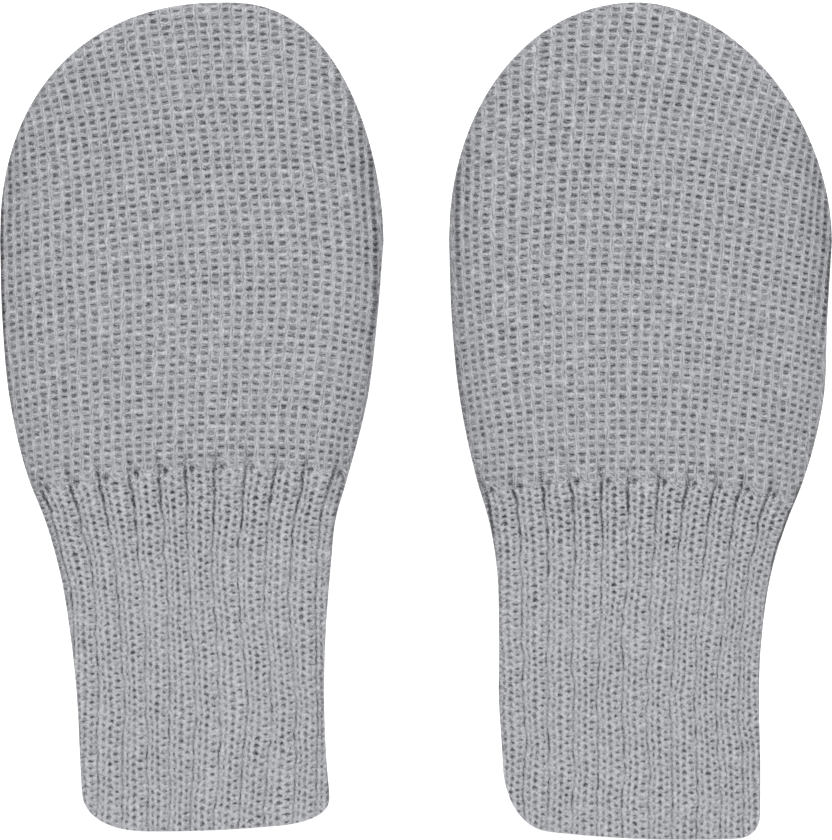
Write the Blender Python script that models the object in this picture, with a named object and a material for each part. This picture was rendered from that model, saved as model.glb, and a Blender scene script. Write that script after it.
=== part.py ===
"""A pair of thumbless knitted mittens for a baby, laid flat side by side.

The fingertips point to +Y, the cuffs to -Y, and the backs of both mittens lie on z = 0.
Each mitten is a knitted blank, folded along its inner edge and seamed along its outer edge
and round the tip, so a front lies on a back of the same outline. The knit changes from the
hand to a ribbed cuff along an arched row, where each layer is parted into hand and cuff.

A place on a mitten is given by how far it lies across, from the mitten's own middle line
towards its seamed edge, and how far it lies down from the fingertip.
"""

import math
from collections import namedtuple

import bmesh
import bpy
import numpy as np

# Driving dimensions, in metres
LAYER = 0.0024          # one layer of knit, at the middle of the hand
PART_GAP = 0.0003       # between front and back, and between hand and cuff
EDGE_ROUND = 0.0036     # how far in from the sides and the tip a layer rounds over
HEM_ROUND = 0.0016      # the same at the open end of the cuff
RIM = 0.0004            # what is left of a layer's thickness at its very edge
RIB_RISE = 0.0007       # how far the top of a rib stands above the cracks beside it
RIB_START = 0.0050      # how far below the hand the cracks reach their full depth
FAINT_CRACK = 0.35      # the cracks' depth where they start, as a share of the full one
MITTEN_AXIS = 0.0381    # from the middle of the pair to the middle line of each mitten
PAIR_LENGTH = 0.1423    # from the fingertips to the lower of the two hems

# How finely each layer is divided
HAND_COLUMNS = 22
HAND_ROWS = 14
CUFF_COLUMNS = 20
CUFF_ROWS = 12
OUTLINE_STEPS = 60
RIB_STEPS = (0.0, 0.14, 0.32, 0.5, 0.68, 0.86)
EDGE_RIB_STEPS = (0.0, 0.06, 0.24, 0.6)
SETTLING_ROUNDS = 6
SHARP_ANGLE = 40        # a turn between two faces, in degrees, that shows as an edge
NO_LENGTH = 1e-18       # the least squared length of a step, which never divides by nothing

# The yarn, a light heather grey
YARN_COLOUR = (0.40, 0.405, 0.425, 1.0)
YARN_ROUGHNESS = 0.95

# A level of the outline: how far down, and how far across to the seamed and the folded edge
Section = namedtuple("Section", "down seam fold")

# A crack between two ribs: its share of the width from the folded edge, at CRACK_LEVELS
Crack = namedtuple("Crack", "start upper lower end")
CRACK_LEVELS = (0.084, 0.100, 0.120, 0.137)

# The tip: how far its top lies towards the fold, and the powers of the rounding on each side,
# where 2 and 2 are an ellipse and more is fuller: across keeps the top flat, down the side
Tip = namedtuple("Tip", "apex seam_across seam_down fold_across fold_down")

# The row where the knit changes: its highest point, and how it droops away from there
Change = namedtuple("Change", "down across droop")

# The hem: its lowest point, how it rises away from there, and the width and height of its
# two rounded corners
Hem = namedtuple("Hem", "down across rise seam_wide seam_tall fold_wide fold_tall")
HEM_CORNER_FULLNESS = 2.4

Mitten = namedtuple("Mitten", "name side sections tip change hem cracks")

LEFT = Mitten(
    name="left",
    side=-1,
    sections=(
        Section(down=0.0405, seam=0.0326, fold=0.0326),
        Section(down=0.0541, seam=0.0322, fold=0.0315),
        Section(down=0.0677, seam=0.0309, fold=0.0298),
        Section(down=0.0813, seam=0.0276, fold=0.0263),
        Section(down=0.0881, seam=0.0249, fold=0.0244),
        Section(down=0.0949, seam=0.0229, fold=0.0237),
        Section(down=0.1085, seam=0.0205, fold=0.0227),
        Section(down=0.1187, seam=0.0195, fold=0.0225),
        Section(down=0.1289, seam=0.0190, fold=0.0229),
        Section(down=0.1352, seam=0.0187, fold=0.0234),
        Section(down=0.1409, seam=0.0187, fold=0.0234),
    ),
    tip=Tip(apex=0.0057, seam_across=2.25, seam_down=2.25, fold_across=2.4, fold_down=1.8),
    change=Change(down=0.0790, across=-0.0082, droop=3.4),
    hem=Hem(down=0.1409, across=0.0054, rise=2.4,
            seam_wide=0.0115, seam_tall=0.0070, fold_wide=0.0085, fold_tall=0.0037),
    cracks=(
        Crack(start=0.052, upper=0.047, lower=0.030, end=0.053),
        Crack(start=0.139, upper=0.149, lower=0.114, end=0.151),
        Crack(start=0.229, upper=0.242, lower=0.213, end=0.262),
        Crack(start=0.322, upper=0.338, lower=0.314, end=0.365),
        Crack(start=0.414, upper=0.434, lower=0.422, end=0.462),
        Crack(start=0.504, upper=0.523, lower=0.523, end=0.557),
        Crack(start=0.589, upper=0.609, lower=0.625, end=0.642),
        Crack(start=0.684, upper=0.700, lower=0.718, end=0.736),
        Crack(start=0.779, upper=0.796, lower=0.811, end=0.834),
        Crack(start=0.872, upper=0.885, lower=0.915, end=0.936),
    ),
)

RIGHT = Mitten(
    name="right",
    side=1,
    sections=(
        Section(down=0.0405, seam=0.0326, fold=0.0325),
        Section(down=0.0541, seam=0.0318, fold=0.0320),
        Section(down=0.0677, seam=0.0311, fold=0.0306),
        Section(down=0.0813, seam=0.0277, fold=0.0277),
        Section(down=0.0881, seam=0.0250, fold=0.0257),
        Section(down=0.0949, seam=0.0228, fold=0.0245),
        Section(down=0.1085, seam=0.0206, fold=0.0240),
        Section(down=0.1187, seam=0.0202, fold=0.0240),
        Section(down=0.1268, seam=0.0204, fold=0.0235),
        Section(down=0.1423, seam=0.0204, fold=0.0235),
    ),
    tip=Tip(apex=0.0005, seam_across=1.86, seam_down=1.86, fold_across=2.06, fold_down=2.06),
    change=Change(down=0.0813, across=-0.0034, droop=3.5),
    hem=Hem(down=PAIR_LENGTH, across=0.0077, rise=2.5,
            seam_wide=0.0043, seam_tall=0.0043, fold_wide=0.0086, fold_tall=0.0131),
    cracks=(
        Crack(start=0.107, upper=0.083, lower=0.093, end=0.080),
        Crack(start=0.195, upper=0.181, lower=0.187, end=0.175),
        Crack(start=0.283, upper=0.275, lower=0.282, end=0.269),
        Crack(start=0.376, upper=0.377, lower=0.377, end=0.362),
        Crack(start=0.462, upper=0.469, lower=0.472, end=0.464),
        Crack(start=0.548, upper=0.566, lower=0.567, end=0.561),
        Crack(start=0.638, upper=0.661, lower=0.658, end=0.657),
        Crack(start=0.727, upper=0.749, lower=0.753, end=0.754),
        Crack(start=0.807, upper=0.840, lower=0.835, end=0.844),
        Crack(start=0.899, upper=0.919, lower=0.917, end=0.936),
    ),
)


def clear_scene():
    for found in list(bpy.data.objects):
        bpy.data.objects.remove(found, do_unlink=True)


def smooth_curve(at, places, values):
    """The value at a place on a smooth curve through the given places and values."""
    slopes = np.gradient(values, places)
    at = np.clip(at, places[0], places[-1])
    step = np.clip(np.searchsorted(places, at, side="right") - 1, 0, len(places) - 2)
    span = places[step + 1] - places[step]
    share = (at - places[step]) / span
    rest = 1 - share
    return (values[step] * (1 + 2 * share) * rest ** 2
            + values[step + 1] * (3 - 2 * share) * share ** 2
            + slopes[step] * span * share * rest ** 2
            - slopes[step + 1] * span * rest * share ** 2)


def side_lines(mitten, down):
    """How far across the folded and the seamed edge lie, at and below the widest section."""
    levels = np.array([section.down for section in mitten.sections])
    fold = smooth_curve(down, levels, np.array([section.fold for section in mitten.sections]))
    seam = smooth_curve(down, levels, np.array([section.seam for section in mitten.sections]))
    return -fold, seam


def tip_line(mitten, across):
    """How far down the outline of the tip lies: two arcs that meet at its top."""
    widest = mitten.sections[0]
    towards_seam = across + mitten.tip.apex
    on_seam_side = towards_seam > 0
    reach = np.where(on_seam_side, widest.seam + mitten.tip.apex, widest.fold - mitten.tip.apex)
    across_power = np.where(on_seam_side, mitten.tip.seam_across, mitten.tip.fold_across)
    down_power = np.where(on_seam_side, mitten.tip.seam_down, mitten.tip.fold_down)
    share = np.clip(np.abs(towards_seam) / reach, 0, 1)
    return widest.down * (1 - (1 - share ** across_power) ** (1 / down_power))


def change_line(mitten, across):
    """How far down the row lies where the hand's knit changes to the cuff's ribs."""
    return mitten.change.down + mitten.change.droop * (across - mitten.change.across) ** 2


def corner_lift(into, tall):
    """How far a rounded corner lifts the hem, at a share of the way into the corner."""
    into = np.clip(into, 0, 1)
    return tall * (1 - (1 - into ** HEM_CORNER_FULLNESS) ** (1 / HEM_CORNER_FULLNESS))


def hem_line(mitten, across):
    """How far down the hem lies: a shallow bow with a rounded corner at either end."""
    hem = mitten.hem
    last = mitten.sections[-1]
    bow = hem.down - hem.rise * (across - hem.across) ** 2
    seam_corner = corner_lift((across - last.seam) / hem.seam_wide + 1, hem.seam_tall)
    fold_corner = corner_lift((-across - last.fold) / hem.fold_wide + 1, hem.fold_tall)
    return bow - seam_corner - fold_corner


def settle(mitten, share_at, line, down):
    """Where the columns meet a line that crosses them: how far down, and how far across."""
    for _ in range(SETTLING_ROUNDS):
        fold, seam = side_lines(mitten, down)
        across = fold + share_at(down) * (seam - fold)
        down = line(mitten, across)
    return down


def hand_grid(mitten):
    """Rows of points from the change of knit to the tip, on columns that crowd to the sides."""
    widest = mitten.sections[0]
    share = 0.5 - 0.5 * np.cos(np.linspace(0, math.pi, HAND_COLUMNS))
    start = settle(mitten, lambda down: share, change_line,
                   np.full(HAND_COLUMNS, mitten.change.down)) - PART_GAP / 2
    end = tip_line(mitten, -widest.fold + share * (widest.seam + widest.fold))
    along = np.sin(np.linspace(0, math.pi / 2, HAND_ROWS))[:, None]
    down = start + along * (end - start)
    fold, seam = side_lines(mitten, np.maximum(down, widest.down))
    return fold + share * (seam - fold), down


def crack_shares(mitten, down):
    """The folded edge, the cracks and the seamed edge, as shares of the width at each level."""
    levels = np.array(CRACK_LEVELS)
    lines = [np.zeros_like(down)]
    lines += [smooth_curve(down, levels, np.array(crack)) for crack in mitten.cracks]
    lines += [np.ones_like(down)]
    return np.array(lines)


def rib_places(mitten):
    """Places across the cuff, counted in ribs: crowded at the two edges, even between."""
    ribs = len(mitten.cracks) + 1
    places = list(EDGE_RIB_STEPS)
    for rib in range(1, ribs - 1):
        places += [rib + step for step in RIB_STEPS]
    places += [ribs - step for step in reversed(EDGE_RIB_STEPS)]
    places.insert(places.index(ribs - EDGE_RIB_STEPS[-1]), ribs - 1)
    return np.array(places)


def rib_height(mitten, places):
    """How high the cloth stands on each place across: 1 on a rib's top, 0 in a crack."""
    ribs = len(mitten.cracks) + 1
    into = places - np.minimum(np.floor(places), ribs - 1)
    first = places < 1
    last = places >= ribs - 1
    into = np.where(first, 0.5 + 0.5 * into, np.where(last, 0.5 * into, into))
    return np.sqrt(np.clip(np.sin(math.pi * into), 0, 1))


def cuff_grid(mitten, places):
    """Rows of points from the hem to the change of knit, on columns that follow the ribs."""
    def share_at(down):
        cracks = crack_shares(mitten, down)
        rib = np.minimum(places.astype(int), len(cracks) - 2)
        column = np.arange(len(places))
        into = places - rib
        return cracks[rib, column] * (1 - into) + cracks[rib + 1, column] * into

    top = settle(mitten, share_at, change_line,
                 np.full(len(places), mitten.change.down)) + PART_GAP / 2
    bottom = settle(mitten, share_at, hem_line, np.full(len(places), mitten.hem.down))
    along = np.sin(np.linspace(0, math.pi / 2, CUFF_ROWS))[:, None]
    down = top + along * (bottom - top)
    across = np.empty_like(down)
    for row, level in enumerate(down):
        fold, seam = side_lines(mitten, level)
        across[row] = fold + share_at(level) * (seam - fold)
    return across, down


def edge_lines(mitten):
    """The mitten's outline in two open lines of points: sides with tip, and hem."""
    widest = mitten.sections[0]
    turn = np.linspace(0, math.pi, OUTLINE_STEPS)
    tip_across = 0.5 * (widest.seam - widest.fold) - 0.5 * (widest.seam + widest.fold) * np.cos(turn)
    tip = np.stack([tip_across, tip_line(mitten, tip_across)], axis=1)
    ends = hem_line(mitten, np.array([-mitten.sections[-1].fold, mitten.sections[-1].seam]))
    fold_down = np.linspace(ends[0], widest.down, OUTLINE_STEPS)
    seam_down = np.linspace(widest.down, ends[1], OUTLINE_STEPS)
    fold_side = np.stack([side_lines(mitten, fold_down)[0], fold_down], axis=1)
    seam_side = np.stack([side_lines(mitten, seam_down)[1], seam_down], axis=1)
    hem_across = 0.5 * (seam_side[-1, 0] + fold_side[0, 0]) \
        - 0.5 * (seam_side[-1, 0] - fold_side[0, 0]) * np.cos(turn)
    hem = np.stack([hem_across, hem_line(mitten, hem_across)], axis=1)
    return np.concatenate([fold_side, tip, seam_side]), hem


def distance_to(line, across, down):
    """How far each point lies from an open line of points."""
    points = np.stack([across.ravel(), down.ravel()], axis=1)[:, None, :]
    start = line[None, :-1, :]
    run = line[None, 1:, :] - start
    length = np.maximum((run ** 2).sum(axis=2), NO_LENGTH)
    share = np.clip(((points - start) * run).sum(axis=2) / length, 0, 1)
    gap = points - start - share[:, :, None] * run
    return np.sqrt((gap ** 2).sum(axis=2)).min(axis=1).reshape(across.shape)


def rounding(distance, radius):
    """The share of a layer's thickness that is left near an edge, a quarter of an ellipse."""
    into = np.clip(distance / radius, 0, 1)
    return np.sqrt(1 - (1 - into) ** 2)


def thickness(mitten, across, down):
    """The thickness of a plain layer at each point."""
    sides, hem = edge_lines(mitten)
    near_side = rounding(distance_to(sides, across, down), EDGE_ROUND)
    near_hem = rounding(distance_to(hem, across, down), HEM_ROUND)
    return RIM + (LAYER - RIM) * np.minimum(near_side, near_hem)


def yarn_material(name):
    material = bpy.data.materials.new(name)
    material.use_nodes = True
    shader = material.node_tree.nodes["Principled BSDF"]
    shader.inputs["Base Color"].default_value = YARN_COLOUR
    shader.inputs["Roughness"].default_value = YARN_ROUGHNESS
    shader.inputs["Metallic"].default_value = 0.0
    return material


def rim_indices(rows, columns):
    """The grid's outer points in order round it."""
    first_row = [column for column in range(columns)]
    last_column = [row * columns + columns - 1 for row in range(1, rows)]
    last_row = [(rows - 1) * columns + column for column in range(columns - 2, -1, -1)]
    first_column = [row * columns for row in range(rows - 2, 0, -1)]
    return first_row + last_column + last_row + first_column


def make_layer(name, mitten, across, down, thick, faces_up):
    """A closed solid: a shaped outer side, a flat inner side and a low wall round the rim."""
    rows, columns = across.shape
    inner = LAYER + PART_GAP if faces_up else LAYER
    outer = inner + thick if faces_up else inner - thick
    x = mitten.side * (MITTEN_AXIS + across)
    y = PAIR_LENGTH / 2 - down
    mesh = bmesh.new()
    skin = [mesh.verts.new(point) for point in zip(x.ravel(), y.ravel(), outer.ravel())]
    rim = [skin[index] for index in rim_indices(rows, columns)]
    floor = [mesh.verts.new((vert.co.x, vert.co.y, inner)) for vert in rim]
    for row in range(rows - 1):
        for column in range(columns - 1):
            corner = row * columns + column
            mesh.faces.new((skin[corner], skin[corner + 1],
                            skin[corner + columns + 1], skin[corner + columns]))
    for index in range(len(rim)):
        after = (index + 1) % len(rim)
        mesh.faces.new((rim[index], floor[index], floor[after], rim[after]))
    mesh.faces.new(floor)
    bmesh.ops.recalc_face_normals(mesh, faces=mesh.faces)
    data = bpy.data.meshes.new(name)
    mesh.to_mesh(data)
    mesh.free()
    data.shade_smooth()
    data.set_sharp_from_angle(angle=math.radians(SHARP_ANGLE))
    piece = bpy.data.objects.new(name, data)
    piece.data.materials.append(yarn_material(name))
    bpy.context.scene.collection.objects.link(piece)
    return piece


def make_hand(mitten):
    """The front and the back of the hand, in the same outline."""
    across, down = hand_grid(mitten)
    thick = thickness(mitten, across, down)
    make_layer(mitten.name + "_hand_front", mitten, across, down, thick, faces_up=True)
    make_layer(mitten.name + "_hand_back", mitten, across, down, thick, faces_up=False)


def make_cuff(mitten):
    """The ribbed front of the cuff, and its back, which lies flat under it."""
    places = rib_places(mitten)
    across, down = cuff_grid(mitten, places)
    below_change = np.clip((down - down[0]) / RIB_START, 0, 1)
    crack_depth = FAINT_CRACK + (1 - FAINT_CRACK) * below_change
    plain = thickness(mitten, across, down)
    ribbed = plain * (1 - RIB_RISE / LAYER * crack_depth * (1 - rib_height(mitten, places)))
    make_layer(mitten.name + "_cuff_front", mitten, across, down, ribbed, faces_up=True)
    plain_places = np.linspace(0, 1, CUFF_COLUMNS)
    plain_places = (0.5 - 0.5 * np.cos(math.pi * plain_places)) * (len(mitten.cracks) + 1)
    across, down = cuff_grid(mitten, plain_places)
    plain = thickness(mitten, across, down)
    make_layer(mitten.name + "_cuff_back", mitten, across, down, plain, faces_up=False)


def main():
    clear_scene()
    for mitten in (LEFT, RIGHT):
        make_hand(mitten)
        make_cuff(mitten)


main()
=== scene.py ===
"""The finished look of a pair of thumbless knitted mittens for a baby, laid flat side by side.

Each mitten has a front and a back of knit. The hand is in a tuck stitch, with a small hole in
every stitch, and the cuff in wide ribs of four wales. Every piece is a closed shell of cloth on
the form of its solid, with the stitches pressed into its outer side.

A place on a mitten is given by how far it lies across, from the mitten's own middle line
towards its seamed edge, and how far it lies down from the fingertip. A place in the knit is
given by its wale, counted from the folded edge, or its rib, counted from the left as seen from
above, and by its course, counted up from the row where the knit changes.
"""

import math
from collections import namedtuple

import bpy
import numpy as np
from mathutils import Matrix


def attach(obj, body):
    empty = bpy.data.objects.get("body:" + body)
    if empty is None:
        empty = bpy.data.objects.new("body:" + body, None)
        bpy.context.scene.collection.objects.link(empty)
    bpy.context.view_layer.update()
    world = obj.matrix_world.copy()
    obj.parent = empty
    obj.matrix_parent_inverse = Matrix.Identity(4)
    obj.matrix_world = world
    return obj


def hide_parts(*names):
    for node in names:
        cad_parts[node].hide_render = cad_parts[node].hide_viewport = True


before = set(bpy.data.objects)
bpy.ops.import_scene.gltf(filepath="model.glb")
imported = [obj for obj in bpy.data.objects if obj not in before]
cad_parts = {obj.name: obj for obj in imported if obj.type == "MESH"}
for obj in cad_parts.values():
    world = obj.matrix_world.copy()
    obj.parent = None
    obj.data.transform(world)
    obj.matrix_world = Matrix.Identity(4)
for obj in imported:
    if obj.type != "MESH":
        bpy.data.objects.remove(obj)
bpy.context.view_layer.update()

# Driving dimensions of the cloth, in metres
HALF = 0.00255          # from the surface below to where front and back meet, and on to the top
EDGE_ROUND = 0.0026     # how far in from the sides and the tip a layer rounds over
HEM_ROUND = 0.0008      # the same at the open end of the cuff
ROUND_FULLNESS = 2.4    # the power of this rounding, where 2 is an ellipse and more is fuller
EDGE_RIM = 0.00015      # what is left of a layer's thickness at its very edge
LAYER_GAP = 0.00002     # between the layers, where they lie on each other
HEM_GAPE = 0.0002       # how far each layer's inner side draws back at the open end
HEM_GAPE_REACH = 0.010  # how far into the cuff the layers part
MITTEN_AXIS = 0.0381    # from the middle of the pair to the middle line of each mitten
PAIR_LENGTH = 0.1423    # from the fingertips to the lower of the two hems
SWELL = 0.00018         # how far the cloth rises and sinks in its slow waves
SWELL_LENGTH = 0.011    # the length of these waves

# The knit's relief, in metres
HOLE_DEPTH = 0.00052
LEG_RISE = 0.00016
LOOP_RISE = 0.00016
RIB_RISE = 0.0007
TRANSFER_DEPTH = 0.0007

# The reach of this relief, across in wales and along in courses
LEG_ACROSS = 0.34
HOLLOW_ACROSS = 0.40
HOLLOW_ALONG = 0.42
LOOP_ALONG = 0.30
LOOP_BELOW = 0.40           # how far below the middle of a hole its loop lies
CHANGE_BLEND = 0.6          # how far above and below the change one knit's relief runs into the other
DENT_WIDE = 1.5             # how much wider than its dark spot the dent of a hole in the cuff is
DENT_TALL = 1.6             # and how much taller
TRANSFER_DENT = 1.4         # the same, both ways, for the larger holes where the knit changes

# Towards the sides the cloth turns under: its holes look closed there, and painted shade darkens its
# colour.
# Distances are in metres from the side
SIDE_OPENNESS = 0.30        # how open the holes look at the very edge, of 1
TURN_OPENNESS = 0.45        # how much that grows from TURN_START to TURN_END
NEAR_OPENNESS = 0.25        # how much more it grows, more slowly, up to NEAR_REACH
TURN_START = 0.0001
TURN_END = 0.0009
NEAR_REACH = 0.0045
RIM_REACH = 0.0013          # how far in most of the painted shade reaches
RIM_SHARE = 0.75            # how much of it that is
WIDE_RIM_REACH = 0.0039     # how far in the rest reaches

# The count of the knit
COURSE_AT_CHANGE = 0.00136  # the height of a course in the hand, where the knit changes
COURSE_TAPER = 0.00152      # how much less that is for each metre towards the tip
CUFF_COURSES = 48
CRACK_COURSES = 3.6         # how many courses the cracks run up into the hand
CRACK_FULL_COURSES = 4.0    # how many courses below the change they reach their full depth
FAINT_CRACK = 0.35          # their depth at the change, as a share of the full one
CROWDED_REACH = 0.006       # how far in from the sides the hand's wales are crowded
CROWDED_WALES = 0.8         # how many more wales that makes on each side

# How far the stitches stray from even places, in wales, courses or ribs, and how often that
# changes across and along: a shift of half a stitch gives each stitch a value of its own
Stray = namedtuple("Stray", "reach across along shift")
WALE_STRAYS = (
    Stray(reach=0.08, across=1.0, along=1.0, shift=0.5),
    Stray(reach=0.10, across=0.6, along=0.14, shift=0.0),
)
COURSE_STRAYS = (
    Stray(reach=0.09, across=1.0, along=1.0, shift=0.5),
    Stray(reach=0.08, across=0.12, along=0.3, shift=0.0),
)
RIB_STRAYS = (
    Stray(reach=0.060, across=1.0, along=0.28, shift=0.0),
    Stray(reach=0.035, across=3.0, along=0.9, shift=0.0),
)
EVEN_COURSES = 3.0          # how many courses off the change the courses stray fully

# How open the stitches are, and how much that varies from one to the next
MEAN_OPENNESS = 0.94
WALE_VARIETY = 0.19
COLUMN_VARIETY = 0.36
ROW_VARIETY = 0.14
ROW_PATCH = 0.12            # how often that changes along a row
LEAST_OPENNESS = 0.30
MOST_OPENNESS = 1.4
CHANGE_OPENNESS = 0.60      # how open they are in the row of the change, beside the rest
CHANGE_ROW = 0.7            # how many courses off the change that row ends
CHANGE_ROW_END = 1.1        # and how many off it the stitches are as open as the rest

# How many columns and rows of points a layer has: a multiple of LINING_STEP and one more
LINING_STEP = 8             # how many of their spaces a face of the plain inner side spans
COLUMNS = {"front": 273, "back": 153}
ROWS = {"front": {"hand": 345, "cuff": 249}, "back": {"hand": 193, "cuff": 137}}
CROWDING = 0.3              # how much closer together the columns are at the edges
OUTLINE_STEPS = 120         # how many points each stretch of the outline has
SETTLING_ROUNDS = 8         # how often a place that depends on its own level is worked out
SHARP_ANGLE = 75            # a turn between two faces, in degrees, that shows as an edge
SEED_STEP = 100             # how far apart the seeds of two layers are
PATTERN_STEP = 64           # how many wales or ribs apart their finishes lie in the noise
CHANCES = 128               # how many random values each way before they repeat
WALE_SEED = 0               # what each use of them adds to a layer's seed
COURSE_SEED = 2
RIB_SEED = 4
STITCH_SEED = 6
ROW_SEED = 7
COLUMN_SEED = 8
SWELL_SEED = 9
SLOPE_STEP = 0.0001         # how far to each side the slope of the rows is measured
NO_LENGTH = 1e-18           # keeps a division by the square of a length sound

# A level of the outline: how far down, and how far across to the seamed and the folded edge
Section = namedtuple("Section", "down seam fold")

# A crack between two ribs: its share of the width from the folded edge, at CRACK_LEVELS
Crack = namedtuple("Crack", "start upper lower end")
CRACK_LEVELS = (0.084, 0.100, 0.120, 0.137)

# The tip: how far its top lies towards the fold, and the powers of the rounding on each side
Tip = namedtuple("Tip", "apex seam_across seam_down fold_across fold_down")

# The row where the knit changes: its highest point, and how it droops away from there
Change = namedtuple("Change", "down across droop")

# The hem: its lowest point, how it rises away from there, and its two rounded corners
Hem = namedtuple("Hem", "down across rise seam_wide seam_tall fold_wide fold_tall")
HEM_CORNER_FULLNESS = 2.4

# Where the first, the 17th and the 33rd wale of the hand lie across, at a level
Wales = namedtuple("Wales", "down first middle last")
WALE_NUMBERS = (1, 17, 33)

# A course of the hand: where its highest point lies, and how it droops to either edge
Course = namedtuple("Course", "down crown seam_droop fold_droop")

Mitten = namedtuple("Mitten", "name side sections tip change hem cracks wales courses")

LEFT = Mitten(
    name="left",
    side=-1,
    sections=(
        Section(down=0.0405, seam=0.0326, fold=0.0326),
        Section(down=0.0541, seam=0.0322, fold=0.0315),
        Section(down=0.0677, seam=0.0309, fold=0.0298),
        Section(down=0.0813, seam=0.0276, fold=0.0263),
        Section(down=0.0881, seam=0.0249, fold=0.0244),
        Section(down=0.0949, seam=0.0229, fold=0.0237),
        Section(down=0.1085, seam=0.0205, fold=0.0227),
        Section(down=0.1187, seam=0.0195, fold=0.0225),
        Section(down=0.1289, seam=0.0190, fold=0.0229),
        Section(down=0.1352, seam=0.0187, fold=0.0234),
        Section(down=0.1409, seam=0.0187, fold=0.0234),
    ),
    tip=Tip(apex=0.0057, seam_across=2.25, seam_down=2.25, fold_across=2.4, fold_down=1.8),
    change=Change(down=0.0790, across=-0.0082, droop=3.4),
    hem=Hem(down=0.1409, across=0.0054, rise=2.4,
            seam_wide=0.0115, seam_tall=0.0070, fold_wide=0.0085, fold_tall=0.0037),
    cracks=(
        Crack(start=0.052, upper=0.047, lower=0.030, end=0.053),
        Crack(start=0.139, upper=0.149, lower=0.114, end=0.151),
        Crack(start=0.229, upper=0.242, lower=0.213, end=0.262),
        Crack(start=0.322, upper=0.338, lower=0.314, end=0.365),
        Crack(start=0.414, upper=0.434, lower=0.422, end=0.462),
        Crack(start=0.504, upper=0.523, lower=0.523, end=0.557),
        Crack(start=0.589, upper=0.609, lower=0.625, end=0.642),
        Crack(start=0.684, upper=0.700, lower=0.718, end=0.736),
        Crack(start=0.779, upper=0.796, lower=0.811, end=0.834),
        Crack(start=0.872, upper=0.885, lower=0.915, end=0.936),
    ),
    wales=(
        Wales(down=0.0010, first=-0.0300, middle=0.0036, last=0.0368),
        Wales(down=0.0214, first=-0.0301, middle=0.0010, last=0.0301),
        Wales(down=0.0470, first=-0.0317, middle=-0.0014, last=0.0290),
        Wales(down=0.0745, first=-0.0281, middle=-0.0007, last=0.0273),
    ),
    courses=(
        Course(down=0.0010, crown=-0.0048, seam_droop=5.0, fold_droop=9.4),
        Course(down=0.0215, crown=-0.0106, seam_droop=3.5, fold_droop=10.0),
        Course(down=0.0422, crown=-0.0133, seam_droop=3.1, fold_droop=8.0),
        Course(down=0.0633, crown=-0.0150, seam_droop=2.9, fold_droop=9.7),
        Course(down=0.0790, crown=-0.0082, seam_droop=3.4, fold_droop=3.4),
    ),
)

RIGHT = Mitten(
    name="right",
    side=1,
    sections=(
        Section(down=0.0405, seam=0.0326, fold=0.0325),
        Section(down=0.0541, seam=0.0318, fold=0.0320),
        Section(down=0.0677, seam=0.0311, fold=0.0306),
        Section(down=0.0813, seam=0.0277, fold=0.0277),
        Section(down=0.0881, seam=0.0250, fold=0.0257),
        Section(down=0.0949, seam=0.0228, fold=0.0245),
        Section(down=0.1085, seam=0.0206, fold=0.0240),
        Section(down=0.1187, seam=0.0202, fold=0.0240),
        Section(down=0.1268, seam=0.0204, fold=0.0235),
        Section(down=0.1423, seam=0.0204, fold=0.0235),
    ),
    tip=Tip(apex=0.0005, seam_across=1.86, seam_down=1.86, fold_across=2.06, fold_down=2.06),
    change=Change(down=0.0813, across=-0.0034, droop=3.5),
    hem=Hem(down=PAIR_LENGTH, across=0.0077, rise=2.5,
            seam_wide=0.0043, seam_tall=0.0043, fold_wide=0.0086, fold_tall=0.0131),
    cracks=(
        Crack(start=0.107, upper=0.083, lower=0.093, end=0.080),
        Crack(start=0.195, upper=0.181, lower=0.187, end=0.175),
        Crack(start=0.283, upper=0.275, lower=0.282, end=0.269),
        Crack(start=0.376, upper=0.377, lower=0.377, end=0.362),
        Crack(start=0.462, upper=0.469, lower=0.472, end=0.464),
        Crack(start=0.548, upper=0.566, lower=0.567, end=0.561),
        Crack(start=0.638, upper=0.661, lower=0.658, end=0.657),
        Crack(start=0.727, upper=0.749, lower=0.753, end=0.754),
        Crack(start=0.807, upper=0.840, lower=0.835, end=0.844),
        Crack(start=0.899, upper=0.919, lower=0.917, end=0.936),
    ),
    wales=(
        Wales(down=0.0010, first=-0.0321, middle=0.0063, last=0.0416),
        Wales(down=0.0210, first=-0.0313, middle=0.0028, last=0.0329),
        Wales(down=0.0470, first=-0.0313, middle=0.0004, last=0.0289),
        Wales(down=0.0750, first=-0.0282, middle=-0.0006, last=0.0260),
    ),
    courses=(
        Course(down=0.0010, crown=-0.0037, seam_droop=8.8, fold_droop=7.6),
        Course(down=0.0205, crown=-0.0085, seam_droop=5.3, fold_droop=11.0),
        Course(down=0.0425, crown=-0.0068, seam_droop=4.4, fold_droop=7.9),
        Course(down=0.0753, crown=-0.0015, seam_droop=4.8, fold_droop=3.5),
        Course(down=0.0813, crown=-0.0034, seam_droop=3.5, fold_droop=3.5),
    ),
)

# A column of small holes in a rib: its place as a share of the rib from the crack on its left,
# the holes' half width in ribs and half height in courses, how far up they are shifted, and
# how dark their painted shade is and how deep they are beside the holes of the hand
Column = namedtuple("Column", "place half_width half_height shift strength", defaults=(0.0, 1.0))
RIB_COLUMNS = (
    Column(place=0.23, half_width=0.060, half_height=0.24, shift=0.20, strength=0.62),
    Column(place=0.49, half_width=0.095, half_height=0.25, shift=0.50, strength=0.95),
    Column(place=0.78, half_width=0.125, half_height=0.16, shift=0.05, strength=0.78),
)

# The larger hole that each rib starts from, in the row where the knit changes
TRANSFER = Column(place=0.25, half_width=0.10, half_height=0.42)

# The four wales of a rib lie between its cracks and its columns of holes
RIB_EDGES = (0.0,) + tuple(column.place for column in RIB_COLUMNS) + (1.0,)
RIB_WALES = tuple(zip(RIB_EDGES[:-1], RIB_EDGES[1:]))

# The outline


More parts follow.
